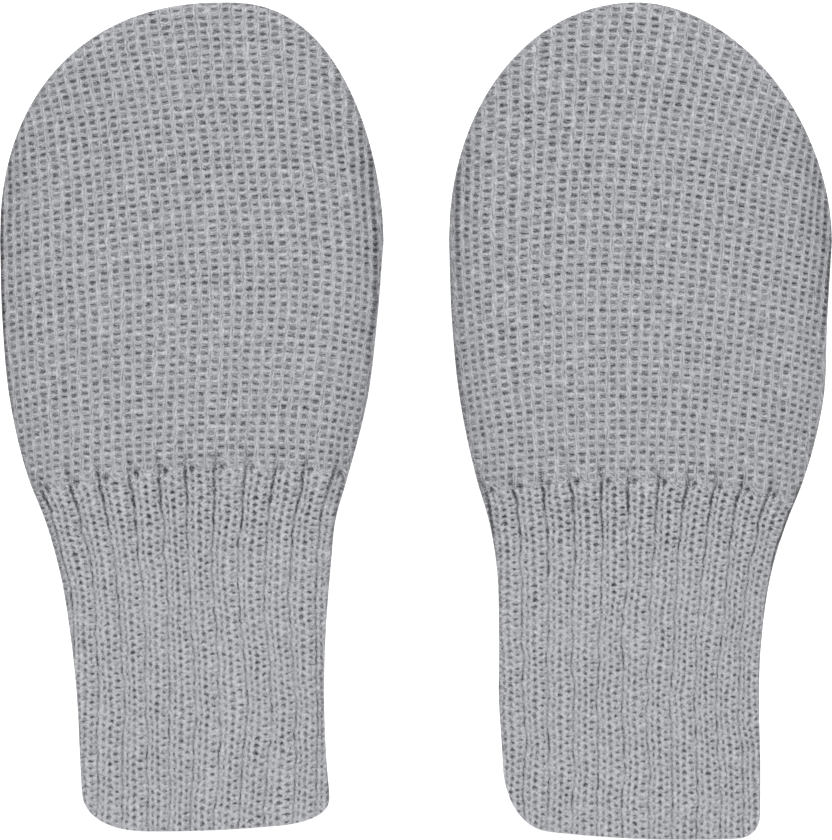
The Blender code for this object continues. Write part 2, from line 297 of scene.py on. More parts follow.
def smooth_curve(at, places, values):
    """The value at a place on a smooth curve through the given places and values."""
    slopes = np.gradient(values, places)
    at = np.clip(at, places[0], places[-1])
    step = np.clip(np.searchsorted(places, at, side="right") - 1, 0, len(places) - 2)
    span = places[step + 1] - places[step]
    share = (at - places[step]) / span
    rest = 1 - share
    return (values[step] * (1 + 2 * share) * rest ** 2
            + values[step + 1] * (3 - 2 * share) * share ** 2
            + slopes[step] * span * share * rest ** 2
            - slopes[step + 1] * span * rest * share ** 2)


def column_of(rows, name):
    """One named column of a table, as an array."""
    return np.array([getattr(row, name) for row in rows])


def side_lines(mitten, down):
    """How far across the folded and the seamed edge lie, at and below the widest section."""
    levels = column_of(mitten.sections, "down")
    fold = smooth_curve(down, levels, column_of(mitten.sections, "fold"))
    seam = smooth_curve(down, levels, column_of(mitten.sections, "seam"))
    return -fold, seam


def tip_line(mitten, across):
    """How far down the outline of the tip lies: two arcs that meet at its top."""
    widest = mitten.sections[0]
    towards_seam = across + mitten.tip.apex
    on_seam_side = towards_seam > 0
    reach = np.where(on_seam_side, widest.seam + mitten.tip.apex, widest.fold - mitten.tip.apex)
    across_power = np.where(on_seam_side, mitten.tip.seam_across, mitten.tip.fold_across)
    down_power = np.where(on_seam_side, mitten.tip.seam_down, mitten.tip.fold_down)
    share = np.clip(np.abs(towards_seam) / reach, 0, 1)
    return widest.down * (1 - (1 - share ** across_power) ** (1 / down_power))


def change_line(mitten, across):
    """How far down the row lies where the hand's knit changes to the cuff's ribs."""
    return mitten.change.down + mitten.change.droop * (across - mitten.change.across) ** 2


def corner_lift(into, tall):
    """How far a rounded corner lifts the hem, at a share of the way into the corner."""
    into = np.clip(into, 0, 1)
    return tall * (1 - (1 - into ** HEM_CORNER_FULLNESS) ** (1 / HEM_CORNER_FULLNESS))


def hem_bow(mitten, across):
    """How far down the hem's last course lies, before its corners are rounded."""
    return mitten.hem.down - mitten.hem.rise * (across - mitten.hem.across) ** 2


def hem_line(mitten, across):
    """How far down the hem lies: a shallow bow with a rounded corner at either end."""
    hem = mitten.hem
    last = mitten.sections[-1]
    seam_corner = corner_lift((across - last.seam) / hem.seam_wide + 1, hem.seam_tall)
    fold_corner = corner_lift((-across - last.fold) / hem.fold_wide + 1, hem.fold_tall)
    return hem_bow(mitten, across) - seam_corner - fold_corner


def settle(mitten, share, line, down):
    """How far down the columns meet a line that crosses them."""
    for _ in range(SETTLING_ROUNDS):
        fold, seam = side_lines(mitten, down)
        down = line(mitten, fold + share * (seam - fold))
    return down


def column_shares(columns):
    """Places across, as shares of the width, a little closer together at the two edges."""
    even = np.linspace(0, 1, columns)
    return (1 - CROWDING) * even + CROWDING * (0.5 - 0.5 * np.cos(math.pi * even))


def hand_grid(mitten, columns, rows):
    """Rows of points from the change of knit to the tip."""
    widest = mitten.sections[0]
    share = column_shares(columns)
    start = settle(mitten, share, change_line, np.full(columns, mitten.change.down))
    end = tip_line(mitten, -widest.fold + share * (widest.seam + widest.fold))
    even = np.linspace(0, 1, rows)[:, None]
    along = (1 - CROWDING) * even + CROWDING * np.sin(0.5 * math.pi * even)
    down = start + along * (end - start)
    fold, seam = side_lines(mitten, np.maximum(down, widest.down))
    return fold + share * (seam - fold), down


def cuff_grid(mitten, columns, rows):
    """Rows of points from the hem to the change of knit."""
    share = column_shares(columns)
    start = settle(mitten, share, hem_line, np.full(columns, mitten.hem.down))
    end = settle(mitten, share, change_line, np.full(columns, mitten.change.down))
    down = start + np.linspace(0, 1, rows)[:, None] * (end - start)
    fold, seam = side_lines(mitten, down)
    return fold + share * (seam - fold), down


def edge_lines(mitten):
    """The mitten's outline in two open lines of points: sides with tip, and hem."""
    widest = mitten.sections[0]
    turn = np.linspace(0, math.pi, OUTLINE_STEPS)
    tip_across = 0.5 * (widest.seam - widest.fold) - 0.5 * (widest.seam + widest.fold) * np.cos(turn)
    tip = np.stack([tip_across, tip_line(mitten, tip_across)], axis=1)
    ends = hem_line(mitten, np.array([-mitten.sections[-1].fold, mitten.sections[-1].seam]))
    fold_down = np.linspace(ends[0], widest.down, OUTLINE_STEPS)
    seam_down = np.linspace(widest.down, ends[1], OUTLINE_STEPS)
    fold_side = np.stack([side_lines(mitten, fold_down)[0], fold_down], axis=1)
    seam_side = np.stack([side_lines(mitten, seam_down)[1], seam_down], axis=1)
    hem_across = 0.5 * (seam_side[-1, 0] + fold_side[0, 0]) \
        - 0.5 * (seam_side[-1, 0] - fold_side[0, 0]) * np.cos(turn)
    hem = np.stack([hem_across, hem_line(mitten, hem_across)], axis=1)
    return np.concatenate([fold_side, tip, seam_side]), hem


def distance_to(line, across, down):
    """How far each point of a grid lies from an open line of points, row by row."""
    start = line[None, :-1]
    run = line[None, 1:] - start
    length = np.maximum((run ** 2).sum(axis=2), NO_LENGTH)
    rows = []
    for row in np.stack([across, down], axis=2):
        reach = row[:, None] - start
        share = np.clip((reach * run).sum(axis=2) / length, 0, 1)
        gap = reach - share[:, :, None] * run
        rows.append(np.sqrt((gap ** 2).sum(axis=2)).min(axis=1))
    return np.array(rows)


def rounding(distance, radius):
    """The share of a layer's thickness left near an edge: a quarter of an ellipse, made fuller."""
    into = np.clip(distance / radius, 0, 1)
    return (1 - (1 - into) ** ROUND_FULLNESS) ** (1 / ROUND_FULLNESS)


# The knit


def fraction(value):
    return value - np.floor(value)


def bell(distance, reach):
    """1 at no distance, falling softly to 0 at the reach and beyond."""
    return 0.5 + 0.5 * np.cos(math.pi * np.clip(np.abs(distance) / reach, 0, 1))


def ease(value, none, full):
    """0 up to one value and 1 from another on, with a soft step between."""
    share = np.clip((value - none) / (full - none), 0, 1)
    return share ** 2 * (3 - 2 * share)


def chance(seed, across, along):
    """A random number from -1 to 1 at each whole place, blended softly in between."""
    table = np.random.default_rng(seed).uniform(-1, 1, (CHANCES, CHANCES))
    left = np.floor(across).astype(int)
    low = np.floor(along).astype(int)
    right_share = ease(across - left, 0, 1)
    upper_share = ease(along - low, 0, 1)
    left, right = left % CHANCES, (left + 1) % CHANCES
    low, upper = low % CHANCES, (low + 1) % CHANCES
    below = table[low, left] * (1 - right_share) + table[low, right] * right_share
    above = table[upper, left] * (1 - right_share) + table[upper, right] * right_share
    return below * (1 - upper_share) + above * upper_share


def wale_at(mitten, across, down):
    """The number of the hand's wale at each point, on a curve through three known wales."""
    levels = column_of(mitten.wales, "down")
    first, middle, last = (smooth_curve(down, levels, column_of(mitten.wales, name))
                           for name in ("first", "middle", "last"))
    one, two, three = WALE_NUMBERS
    return (one * (across - middle) * (across - last) / ((first - middle) * (first - last))
            + two * (across - first) * (across - last) / ((middle - first) * (middle - last))
            + three * (across - first) * (across - middle) / ((last - first) * (last - middle)))


def course_at(mitten, across, down):
    """The number of the course at each point, up from the change and down from it."""
    levels = column_of(mitten.courses, "down")
    crowns, seam_droops, fold_droops = (column_of(mitten.courses, name)
                                        for name in ("crown", "seam_droop", "fold_droop"))
    level = down
    for _ in range(SETTLING_ROUNDS):
        from_crown = across - smooth_curve(level, levels, crowns)
        droop = np.where(from_crown > 0, smooth_curve(level, levels, seam_droops),
                         smooth_curve(level, levels, fold_droops))
        level = down - droop * from_crown ** 2
    rise = mitten.change.down - level
    in_hand = rise / (COURSE_AT_CHANGE - 0.5 * COURSE_TAPER * rise)
    change = change_line(mitten, across)
    in_cuff = -CUFF_COURSES * (down - change) / (hem_bow(mitten, across) - change)
    return np.where(down < change, in_hand, in_cuff)


def rib_at(mitten, across, down):
    """The number of the rib at each point, whole in the cracks, from the left of the picture."""
    levels = np.array(CRACK_LEVELS)
    cracks = [smooth_curve(down, levels, np.array(crack)) for crack in mitten.cracks]
    cracks.insert(0, 2 * cracks[0] - cracks[1])
    cracks.append(2 * cracks[-1] - cracks[-2])
    fold, seam = side_lines(mitten, np.maximum(down, mitten.sections[0].down))
    share = (across - fold) / (seam - fold)
    rib = np.zeros_like(share)
    last = len(cracks) - 2
    for step in range(last + 1):
        into = (share - cracks[step]) / (cracks[step + 1] - cracks[step])
        rib += np.clip(into, None if step == 0 else 0, None if step == last else 1)
    return rib if mitten.side > 0 else last + 1 - rib


def slopes_of(count, mitten, across, down):
    """How fast a count of the knit grows across and down, measured over the same short step."""
    grows_across = count(mitten, across + SLOPE_STEP, down) - count(mitten, across - SLOPE_STEP, down)
    grows_down = count(mitten, across, down + SLOPE_STEP) - count(mitten, across, down - SLOPE_STEP)
    return grows_across, grows_down


def lean_at(mitten, across, down):
    """How many courses a row of the hand climbs for each wale across, square to the wales."""
    wale_across, wale_down = slopes_of(wale_at, mitten, across, down)
    course_across, course_down = slopes_of(course_at, mitten, across, down)
    along_both = wale_across * course_across + wale_down * course_down
    return along_both / (wale_across ** 2 + wale_down ** 2)


def strays(table, seed, across, along):
    """How far each place in the knit strays: the sum of a table's rows."""
    return sum(row.reach * chance(seed + order, across * row.across - row.shift,
                                  along * row.along - row.shift)
               for order, row in enumerate(table))


def knit_places(mitten, seed, across, down):
    """Wale, rib and course at each point, with the small unevenness of real stitches."""
    fold, seam = side_lines(mitten, np.maximum(down, mitten.sections[0].down))
    crowded = ease(seam - across, CROWDED_REACH, 0) - ease(across - fold, CROWDED_REACH, 0)
    wale = wale_at(mitten, across, down) + CROWDED_WALES * crowded
    course = course_at(mitten, across, down)
    rib = rib_at(mitten, across, down)
    wale_stray = strays(WALE_STRAYS, seed + WALE_SEED, wale, course)
    course_stray = strays(COURSE_STRAYS, seed + COURSE_SEED, wale, course)
    rib_stray = strays(RIB_STRAYS, seed + RIB_SEED, rib, course)
    course = course + course_stray * ease(np.abs(course), 0, EVEN_COURSES)
    return wale + wale_stray, rib + rib_stray, course


def stitch_openness(seed, wale, rib, course, in_hand):
    """How open each stitch is, about 1, told by its wale in the hand and its column in a rib."""
    by_wale = chance(seed + STITCH_SEED, wale - 0.5, course - 0.5)
    by_row = chance(seed + ROW_SEED, wale * ROW_PATCH, course - 0.5)
    by_column = chance(seed + COLUMN_SEED, rib * len(RIB_WALES), course - 0.5)
    own = np.where(in_hand, WALE_VARIETY * by_wale, COLUMN_VARIETY * by_column)
    off_change = ease(np.abs(course), CHANGE_ROW, CHANGE_ROW_END)
    openness = np.clip(MEAN_OPENNESS + own + ROW_VARIETY * by_row, LEAST_OPENNESS, MOST_OPENNESS)
    return openness * (CHANGE_OPENNESS + (1 - CHANGE_OPENNESS) * off_change)


def knit_relief(seed, wale, rib, course, lean):
    """How far the stitches stand above or below the plain cloth, in metres."""
    beside = fraction(wale) - 0.5
    along = fraction(course - lean * beside) - 0.5
    openness = stitch_openness(seed, wale, rib, course, True)
    from_loop = fraction(along + 0.5 + LOOP_BELOW) - 0.5
    hand = LEG_RISE * bell(0.5 - np.abs(beside), LEG_ACROSS) \
        - HOLE_DEPTH * openness * bell(beside, HOLLOW_ACROSS) * bell(along, HOLLOW_ALONG) \
        + LOOP_RISE * bell(beside, HOLLOW_ACROSS) * bell(from_loop, LOOP_ALONG)
    into = fraction(rib)
    cuff = np.zeros_like(hand)
    openness = stitch_openness(seed, wale, rib, course, False)
    for column in RIB_COLUMNS:
        above = fraction(course + column.shift) - 0.5
        cuff -= HOLE_DEPTH * column.strength * openness \
            * bell(into - column.place, DENT_WIDE * column.half_width) \
            * bell(above, DENT_TALL * column.half_height)
    below_change = ease(course, CHANGE_BLEND, -CHANGE_BLEND)
    crack_share = np.where(course > 0, FAINT_CRACK * ease(course, CRACK_COURSES, 0),
                           FAINT_CRACK + (1 - FAINT_CRACK) * ease(course, 0, -CRACK_FULL_COURSES))
    rib_form = np.sqrt(np.clip(np.sin(math.pi * into), 0, 1)) - 1
    transfer = bell(into - TRANSFER.place, TRANSFER_DENT * TRANSFER.half_width) \
        * bell(course, TRANSFER_DENT * TRANSFER.half_height)
    return (hand * (1 - below_change) + cuff * below_change
            + RIB_RISE * crack_share * rib_form - TRANSFER_DEPTH * transfer)


# The pieces


def put_in(name, data):
    """Puts a mesh, a lamp or a camera into the scene, as an object."""
    added = bpy.data.objects.new(name, data)
    bpy.context.scene.collection.objects.link(added)
    return added


def lining_faces(rows, columns, number):
    """The faces of a shell's plain inner side: coarse, but with every point of the rim."""
    def stretch(low, high, on_rim):
        return list(range(low, high, 1 if on_rim else LINING_STEP))

    faces = []
    for low in range(0, rows - 1, LINING_STEP):
        high = low + LINING_STEP
        for left in range(0, columns - 1, LINING_STEP):
            right = left + LINING_STEP
            face = [(low, column) for column in stretch(left, right, low == 0)]
            face += [(row, right) for row in stretch(low, high, right == columns - 1)]
            top_columns = range(right, left, -1) if high == rows - 1 else [right]
            face += [(high, column) for column in top_columns]
            side_rows = range(high, low, -1) if left == 0 else [high]
            face += [(row, left) for row in side_rows]
            faces.append([number[place] for place in face])
    return faces


def make_shell(name, mitten, across, down, outer, inner, faces_up):
    """A closed shell: a finely shaped outer side, a rim, and a plain inner side."""
    rows, columns = across.shape
    x = mitten.side * (MITTEN_AXIS + across)
    y = PAIR_LENGTH / 2 - down
    skin = np.stack([x, y, outer], axis=2).reshape(-1, 3)
    place = np.arange(rows * columns).reshape(rows, columns)
    skin_faces = np.stack([place[:-1, :-1], place[:-1, 1:], place[1:, 1:], place[1:, :-1]], axis=2)
    skin_faces = skin_faces.reshape(-1, 4)

    rim = [(0, column) for column in range(columns)]
    rim += [(row, columns - 1) for row in range(1, rows)]
    rim += [(rows - 1, column) for column in range(columns - 2, -1, -1)]
    rim += [(row, 0) for row in range(rows - 2, 0, -1)]
    inside = [(row, column) for row in range(LINING_STEP, rows - 1, LINING_STEP)
              for column in range(LINING_STEP, columns - 1, LINING_STEP)]
    lining_places = rim + inside
    source = np.array([row * columns + column for row, column in lining_places])
    number = {spot: len(skin) + order for order, spot in enumerate(lining_places)}
    lining = np.column_stack([x.ravel()[source], y.ravel()[source], inner.ravel()[source]])

    walls = []
    for order, spot in enumerate(rim):
        after = rim[(order + 1) % len(rim)]
        walls.append([place[after], place[spot], number[spot], number[after]])
    plain_faces = walls + [face[::-1] for face in lining_faces(rows, columns, number)]

    turned = (mitten.side > 0) != faces_up
    faces = skin_faces.tolist() + plain_faces
    if turned:
        faces = [face[::-1] for face in faces]
    mesh = bpy.data.meshes.new(name)
    mesh.from_pydata(np.concatenate([skin, lining]).tolist(), [], faces)
    smooth = np.zeros(len(faces), dtype=bool)
    smooth[:len(skin_faces)] = True
    mesh.polygons.foreach_set("use_smooth", smooth)
    mesh.update()
    mesh.set_sharp_from_angle(angle=math.radians(SHARP_ANGLE))
    return put_in(name, mesh), np.concatenate([np.arange(len(skin)), source])


def mark_knit(piece, source, wale, course, values):
    """Gives every point its place in the knit, and the values that its finish needs."""
    mesh = piece.data
    corner = np.empty(len(mesh.loops), dtype=np.int32)
    mesh.loops.foreach_get("vertex_index", corner)
    places = np.stack([wale.ravel()[source][corner], course.ravel()[source][corner]], axis=1)
    mesh.uv_layers.new(name="stitches").data.foreach_set("uv", places.ravel())
    for name, value in values.items():
        marks = mesh.attributes.new(name, "FLOAT", "POINT")
        marks.data.foreach_set("value", value.ravel()[source])


def make_layer(mitten, part, face, material):
    """One layer of the hand or the cuff, in place of its solid."""
    name = f"{mitten.name}_{part}_{face}_knit"
    faces_up = face == "front"
    grid = hand_grid if part == "hand" else cuff_grid
    across, down = grid(mitten, COLUMNS[face], ROWS[face][part])
    layer = 2 * (mitten.side > 0) + faces_up
    seed = SEED_STEP * layer
    wale, rib, course = knit_places(mitten, seed, across, down)

    sides, hem = edge_lines(mitten)
    from_side = distance_to(sides, across, down)
    from_hem = distance_to(hem, across, down)
    left_over = np.minimum(rounding(from_side, EDGE_ROUND), rounding(from_hem, HEM_ROUND))
    swell = SWELL * chance(seed + SWELL_SEED, across / SWELL_LENGTH, down / SWELL_LENGTH)
    lean = lean_at(mitten, across, down)
    relief = knit_relief(seed, wale, rib, course, lean) + swell * faces_up
    gape = HEM_GAPE * ease(from_hem, HEM_GAPE_REACH, 0) * ease(from_side, 0, EDGE_ROUND)
    full = HALF - EDGE_RIM - gape + relief
    thick = EDGE_RIM + np.maximum(full, EDGE_RIM) * left_over
    if faces_up:
        inner = HALF + LAYER_GAP / 2 + gape
        outer = inner + thick
    else:
        inner = HALF - LAYER_GAP / 2 - gape
        outer = np.maximum(inner - thick, 0)

    piece, source = make_shell(name, mitten, across, down, outer, inner, faces_up)
    in_hand = part == "hand"
    openness = stitch_openness(seed, wale, rib, course, in_hand)
    openness *= SIDE_OPENNESS + TURN_OPENNESS * ease(from_side, TURN_START, TURN_END) \
        + NEAR_OPENNESS * ease(from_side, 0, NEAR_REACH)
    # Painted shade along the sides, where the cloth turns under
    rim = RIM_SHARE * ease(from_side, RIM_REACH, 0) \
        + (1 - RIM_SHARE) * ease(from_side, WIDE_RIM_REACH, 0)
    values = {"openness": openness, "rim": rim}
    shift = PATTERN_STEP * layer
    if in_hand:
        values["rib"] = rib
        values["lean"] = lean
        mark_knit(piece, source, wale + shift, course, values)
    else:
        mark_knit(piece, source, rib + shift, course, values)
    piece.data.materials.append(material)
    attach(piece, "root")
    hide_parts(f"{mitten.name}_{part}_{face}")
    return piece


# The finishes


# How fine a random pattern is, across in wales or ribs and along in courses, how far it slants
# for each course, a shift that sets it apart from the others, and its levels of fineness
Grain = namedtuple("Grain", "across along slant shift detail", defaults=(0.0, 0.0, 2.0))
NOISE_ROUGHNESS = 0.6
STRAY_GRAIN = Grain(across=3.7, along=2.9)
APART = 31                  # how far apart in the noise two strays of the same stitch are

# A soft step is given by the value where it starts and the one where it is full
STRAND_STEP = (0.38, 0.62)

# The sockets of a Mix node that are for colours, by their places
MIX_SHARE = 0
MIX_NONE = 6
MIX_FULL = 7
MIX_COLOUR = 2


def operator(operation, reflected=False):
    """A method for one of Python's operators, which adds a Math node."""
    def apply(self, *others):
        values = (self, *others)
        return self.finish.maths(operation, *(values[::-1] if reflected else values))
    return apply


class Value:
    """A value that varies over a surface: Python's operators on it add Math nodes."""

    def __init__(self, finish, socket):
        self.finish = finish
        self.socket = socket

    __add__ = operator("ADD")
    __radd__ = operator("ADD", reflected=True)
    __sub__ = operator("SUBTRACT")
    __rsub__ = operator("SUBTRACT", reflected=True)
    __mul__ = operator("MULTIPLY")
    __rmul__ = operator("MULTIPLY", reflected=True)
    __truediv__ = operator("DIVIDE")
    __rtruediv__ = operator("DIVIDE", reflected=True)
    __abs__ = operator("ABSOLUTE")


class Finish:
    """A material, made up node by node."""

    def __init__(self, name):
        self.material = bpy.data.materials.new(name)
        self.material.use_nodes = True
        self.tree = self.material.node_tree
        self.tree.nodes.clear()

    def node(self, kind, settings=None, sockets=None):
        """Adds a node: its settings first, then the values or links of its sockets."""
        made = self.tree.nodes.new(kind)
        for name, setting in (settings or {}).items():
            setattr(made, name, setting)
        for place, given in (sockets or {}).items():
            if isinstance(given, Value):
                self.tree.links.new(given.socket, made.inputs[place])
            else:
                made.inputs[place].default_value = given
        return made

    def maths(self, operation, *values):
        made = self.node("ShaderNodeMath", {"operation": operation}, dict(enumerate(values)))
        return Value(self, made.outputs[0])

    def fraction(self, value):
        return self.maths("FRACT", value)

    def whole(self, value):
        return self.maths("FLOOR", value)

    def ease(self, value, none, full, slope="SMOOTHSTEP"):
        """0 up to one value and 1 from another on, with a soft step between, or a straight slope."""
        made = self.node("ShaderNodeMapRange", {"interpolation_type": slope},
                         {"Value": value, "From Min": none, "From Max": full})
        return Value(self, made.outputs[0])

    def places(self, name):
        """The two counts of a map of places on the surface."""
        made = self.node("ShaderNodeUVMap", {"uv_map": name})
        parts = self.node("ShaderNodeSeparateXYZ", None, {"Vector": Value(self, made.outputs[0])})
        return Value(self, parts.outputs[0]), Value(self, parts.outputs[1])

    def mark(self, name):
        """One of the values that every point was given."""
        made = self.node("ShaderNodeAttribute", {"attribute_name": name})
        return Value(self, made.outputs["Fac"])

    def noise(self, across, along, grain):
        """A soft random value from 0 to 1 at each place in the knit, as fine as its grain says."""
        across = across * grain.across
        if grain.slant:
            across = across + along * grain.slant
        if grain.shift:
            across = across + grain.shift
        vector = self.node("ShaderNodeCombineXYZ", None, {"X": across, "Y": along * grain.along})
        made = self.node("ShaderNodeTexNoise", {"noise_dimensions": "2D"},
                         {"Vector": Value(self, vector.outputs[0]), "Scale": 1.0,
                          "Detail": grain.detail, "Roughness": NOISE_ROUGHNESS})
        return Value(self, made.outputs[0])

    def stretches(self, across, along, grain, step):
        """1 in some random stretches of the knit and 0 in the others, with soft ends."""
        return self.ease(self.noise(across, along, grain), *step)

    def stray(self, across, along, reach):
        """How far the yarn strays from its regular place, a few times in each stitch."""
        return (self.noise(across, along, STRAY_GRAIN) - 0.5) * reach * 2

    def strands(self, across, along, grain):
        """Fine strands of yarn side by side, from 0 in the gaps to 1 on their crests."""
        return self.stretches(across, along, grain, STRAND_STEP)

    def total(self, plain, weights, features):
        """A plain value with the features of the knit on it, each by its own weight."""
        for name, weight in weights.items():
            plain = plain + weight * features[name]
        return plain

    def blend(self, share, none, full):
        """A colour between two others."""
        made = self.node("ShaderNodeMix", {"data_type": "RGBA"},
                         {MIX_SHARE: share, MIX_NONE: none, MIX_FULL: full})
        return Value(self, made.outputs[MIX_COLOUR])

    def surface(self, sockets):
        """The finished material: one shader with the given values and links of its sockets."""
        shader = self.node("ShaderNodeBsdfPrincipled", None, sockets)
        out = self.node("ShaderNodeOutputMaterial")
        self.tree.links.new(shader.outputs[0], out.inputs[0])
        return self.material


# The yarn: its colour in the deepest painted shade and in the brightest painted highlight, and its
# fibres and heather as patterns and as shares of the tone, which is 0 in that shade and
# BRIGHTEST_TONE in that highlight
YARN_DEEP = (0.060, 0.062, 0.070, 1.0)
YARN_LIGHT = (0.709, 0.717, 0.755, 1.0)
BRIGHTEST_TONE = 1.03
FUZZ_GRAIN = Grain(across=7.5, along=5.5, detail=3.0)
HEATHER_GRAIN = Grain(across=0.45, along=0.9)
FUZZ_SHARE = 0.95
HEATHER_SHARE = 0.24
# How dark the painted shade along the sides is
RIM_PAINTED_SHADE = 0.34
FUZZ_HEIGHT = 2.0           # the height of the fibres in the bump, beside the strands
BUMP_STRENGTH = 0.8
BUMP_HEIGHT = 0.00012
YARN_ROUGHNESS = 0.86
FUZZ_ROUGHNESS = 0.12
YARN_GLOSS = 0.18
YARN_SHEEN = 0.12
SHEEN_ROUGHNESS = 0.6


def yarn(finish, tone, height, across, along):
    """Spun wool: its colour goes with the tone, which carries painted shade and painted highlights, and
    its fibres lie in fine streaks.
    """
    fuzz = finish.noise(across, along, FUZZ_GRAIN)
    heather = finish.noise(across, along, HEATHER_GRAIN)
    # The fibres and heather vary the tone, and painted shade darkens it along the sides
    tone = tone + (fuzz - 0.5) * FUZZ_SHARE + (heather - 0.5) * HEATHER_SHARE \
        - RIM_PAINTED_SHADE * finish.mark("rim")
    colour = finish.blend(tone / BRIGHTEST_TONE, YARN_DEEP, YARN_LIGHT)
    bump = finish.node("ShaderNodeBump", None, {
        "Strength": BUMP_STRENGTH,
        "Distance": BUMP_HEIGHT,
        "Height": height + fuzz * FUZZ_HEIGHT,
    })
    return finish.surface({
        "Base Color": colour,
        "Roughness": YARN_ROUGHNESS + FUZZ_ROUGHNESS * fuzz,
        "Specular IOR Level": YARN_GLOSS,
        "Sheen Weight": YARN_SHEEN,
        "Sheen Roughness": SHEEN_ROUGHNESS,
        "Normal": Value(finish, bump.outputs[0]),
    })


# The thin crack on either side of a rib, painted as a line of shade. It is faint all along, darker
# near the change of knit and just below it, and darkest in random stretches, which short bridges of yarn
# break
CRACK_NEAR_CHANGE = (-14.0, -3.0)   # in courses up from the change
CRACK_PARTING = (-5.5, -1.5)
CRACK_STRAY = 0.10                  # in ribs
CRACK_REACH = 0.052
CRACK_WIDER = 0.030                 # how much wider it is near the change, and again just below
CRACK_CORE = 0.016
# How dark the crack's painted shade is all along, near the change, just below it, and in stretches
FAINT_SHADE = 0.18
NEAR_CHANGE_SHADE = 0.10
PARTING_SHADE = 0.24
STRETCH_SHADE = 0.82
BRIDGED = 0.40                      # how dark a stretch stays under a bridge, of 1
STRETCH_GRAIN = Grain(across=4.3, along=0.55, shift=0.37)
STRETCH_STEP = (0.45, 0.62)
BRIDGE_GRAIN = Grain(across=4.3, along=1.7, shift=9.4)
BRIDGE_STEP = (0.58, 0.44)


def crack_line(finish, rib, course):
    """How dark the painted shade in the thin crack on either side of a rib is: a faint line with dark
    stretches.
    """
    near = 0.5 - abs(finish.fraction(rib) - 0.5) + finish.stray(rib * len(RIB_WALES), course, CRACK_STRAY)
    near_change = finish.ease(course, *CRACK_NEAR_CHANGE)
    parting = finish.ease(course, *CRACK_PARTING)
    dark_stretch = finish.stretches(rib, course, STRETCH_GRAIN, STRETCH_STEP)
    unbridged = finish.stretches(rib, course, BRIDGE_GRAIN, BRIDGE_STEP)
    reach = CRACK_REACH + CRACK_WIDER * near_change + CRACK_WIDER * parting
    dark = FAINT_SHADE + NEAR_CHANGE_SHADE * near_change + PARTING_SHADE * parting \
        + STRETCH_SHADE * dark_stretch * (BRIDGED + (1 - BRIDGED) * unbridged)
    return finish.ease(near, reach, CRACK_CORE) * finish.maths("MINIMUM", dark, 1.0)


# The large hole that each rib starts from, in the row where the knit changes, painted dark with
# shade, and the slanted strands beside it, where a wale is carried over
TRANSFER_STRAY = (0.08, 0.4)        # across in ribs and along in courses
TRANSFER_STEP = (1.5, 0.4)          # in its squared distance from the middle, 1 at its outline
TRANSFER_SHARE = 0.62               # how dark its painted shade is at least, and how much more where pulled open
PULLED_SHARE = 0.48
PULLED_GRAIN = Grain(across=0.9, along=0.2, shift=2.2)
PULLED_STEP = (0.44, 0.56)
CARRIED_PLACE = 0.42
CARRIED_LEAN = 0.10
CARRIED_SIDE = (0.17, 0.09)
CARRIED_END = (1.05, 0.55)
CARRIED_MIDDLE = 0.30               # the level of the strands that leaves the tone as it is
CARRIED_GRAIN = Grain(across=15.6, along=1.2, slant=4.6)


def transfer_hole(finish, rib, course):
    """How dark the painted shade is in the large hole that each rib starts from, in the row where the
    knit changes.
    """
    across_stray, along_stray = TRANSFER_STRAY
    columns = rib * len(RIB_WALES)
    beside = (finish.fraction(rib) - TRANSFER.place + finish.stray(columns, course, across_stray)) \
        / TRANSFER.half_width
    above = (course + finish.stray(columns + APART, course, along_stray)) / TRANSFER.half_height
    pulled_open = finish.stretches(rib, course, PULLED_GRAIN, PULLED_STEP)
    return finish.ease(beside * beside + above * above, *TRANSFER_STEP) \
        * (TRANSFER_SHARE + PULLED_SHARE * pulled_open)


def carried_strands(finish, rib, course):
    """How bright the slanted strands are beside that hole, where a wale is carried over."""
    from_middle = finish.fraction(rib) + course * CARRIED_LEAN - CARRIED_PLACE
    patch = finish.ease(abs(from_middle), *CARRIED_SIDE) * finish.ease(abs(course), *CARRIED_END)
    return patch * (finish.strands(rib, course, CARRIED_GRAIN) - CARRIED_MIDDLE)


# The hand's finish: its soft steps are in wales across or in courses along, from the middle of a
# stitch, and those that tell how near the change of knit is are in courses up from it
HAND_STRAY = (0.25, 0.34)           # across in wales and along in courses
SAG = 1.3                           # how far a loop sags, in courses for a wale, squared
HOLE_SIDE = (0.29, 0.21)
HOLE_TOP = (0.28, 0.17)
HOLE_BOTTOM = (-0.29, -0.14)
HOLE_UPPER = (-0.04, 0.14)
HOLE_CORNER = (0.10, 0.24)
HOLE_SHADE = 0.36                    # how dark the painted shade in a hole is all over, of 1 and how much darker in its upper part, as painted shadow, in its two corners and between the fibres that cross it
UPPER_SHADOW = 0.38                   # and how much darker in its upper part, in its two corners
CORNER_SHADE = 0.18                  # and between the fibres that cross it
FIBRE_SHADE = 0.32
# The reach of the painted shade in the hollow down the middle of a wale
HOLLOW_SIDE = (0.36, 0.22)
# The reach of the painted highlights on the loop under a hole and along the middle of a leg
LOOP_SIDE = (0.34, 0.18)
LOOP_EDGE = (0.20, 0.05)
LEG_MIDDLE = 0.40
LEG_EDGE = (0.14, 0.03)
LEG_START = (0.24, 0.33)
